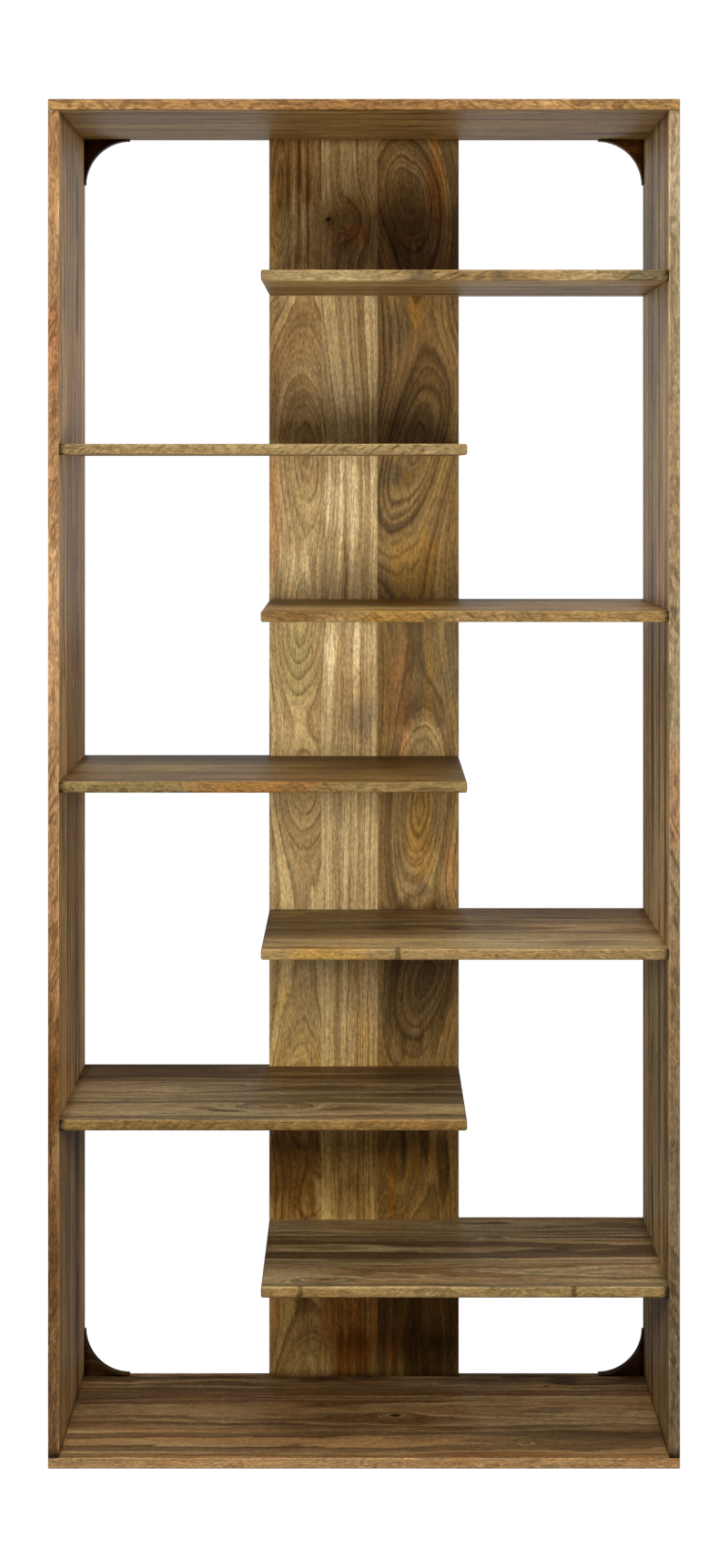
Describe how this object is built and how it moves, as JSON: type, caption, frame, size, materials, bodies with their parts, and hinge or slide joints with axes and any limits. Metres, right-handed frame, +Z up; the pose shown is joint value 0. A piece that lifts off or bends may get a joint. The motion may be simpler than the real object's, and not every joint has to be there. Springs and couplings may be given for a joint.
{
  "type": "open bookcase",
  "caption": "Tall open bookcase in solid mango wood: staggered fixed shelves cross a central back panel, with hollow quarter-round gussets in the rear corners.",
  "frame": {"origin": "on the floor, at the centre of the bottom board's underside", "axes": "+Z up; +X to the viewer's right, seen from the front; the open front faces -Y"},
  "size_m": [0.9, 0.35, 1.95],
  "materials": {
    "case_wood": "waxed satin mango, warm brown",
    "shelf_wood": "waxed satin mango, mixed tan and grey-brown",
    "pale_stave_wood": "waxed satin mango, pale greyish tan",
    "gold_stave_wood": "waxed satin mango, golden tan",
    "dark_stave_wood": "waxed satin mango, dark heartwood",
    "dowel_wood": "plain beech",
    "screw_steel": "zinc-plated"
  },
  "bodies": {
    "root": {"top_board": "case_wood", "bottom_board": "case_wood", "left_side": "case_wood", "right_side": "case_wood", "back_stave_left": "pale_stave_wood", "back_stave_middle": "gold_stave_wood", "back_stave_right": "dark_stave_wood", "left_shelf_upper": "shelf_wood", "left_shelf_middle": "shelf_wood", "left_shelf_lower": "shelf_wood", "right_shelf_top": "shelf_wood", "right_shelf_upper": "shelf_wood", "right_shelf_lower": "shelf_wood", "right_shelf_bottom": "shelf_wood", "gusset_top_left": "case_wood", "gusset_top_right": "case_wood", "gusset_bottom_left": "case_wood", "gusset_bottom_right": "case_wood", "dowel_top_left_front": "dowel_wood", "dowel_top_left_rear": "dowel_wood", "dowel_top_right_front": "dowel_wood", "dowel_top_right_rear": "dowel_wood", "dowel_top_panel_left": "dowel_wood", "dowel_top_panel_right": "dowel_wood", "dowel_bottom_left_front": "dowel_wood", "dowel_bottom_left_rear": "dowel_wood", "dowel_bottom_right_front": "dowel_wood", "dowel_bottom_right_rear": "dowel_wood", "dowel_bottom_panel_left": "dowel_wood", "dowel_bottom_panel_right": "dowel_wood", "dowel_left_shelf_upper_front": "dowel_wood", "dowel_left_shelf_upper_rear": "dowel_wood", "dowel_left_shelf_middle_front": "dowel_wood", "dowel_left_shelf_middle_rear": "dowel_wood", "dowel_left_shelf_lower_front": "dowel_wood", "dowel_left_shelf_lower_rear": "dowel_wood", "dowel_right_shelf_top_front": "dowel_wood", "dowel_right_shelf_top_rear": "dowel_wood", "dowel_right_shelf_upper_front": "dowel_wood", "dowel_right_shelf_upper_rear": "dowel_wood", "dowel_right_shelf_lower_front": "dowel_wood", "dowel_right_shelf_lower_rear": "dowel_wood", "dowel_right_shelf_bottom_front": "dowel_wood", "dowel_right_shelf_bottom_rear": "dowel_wood", "screw_left_shelf_upper_left": "screw_steel", "screw_left_shelf_upper_right": "screw_steel", "screw_left_shelf_middle_left": "screw_steel", "screw_left_shelf_middle_right": "screw_steel", "screw_left_shelf_lower_left": "screw_steel", "screw_left_shelf_lower_right": "screw_steel", "screw_right_shelf_top_left": "screw_steel", "screw_right_shelf_top_right": "screw_steel", "screw_right_shelf_upper_left": "screw_steel", "screw_right_shelf_upper_right": "screw_steel", "screw_right_shelf_lower_left": "screw_steel", "screw_right_shelf_lower_right": "screw_steel", "screw_right_shelf_bottom_left": "screw_steel", "screw_right_shelf_bottom_right": "screw_steel"}
  },
  "joints": []
}
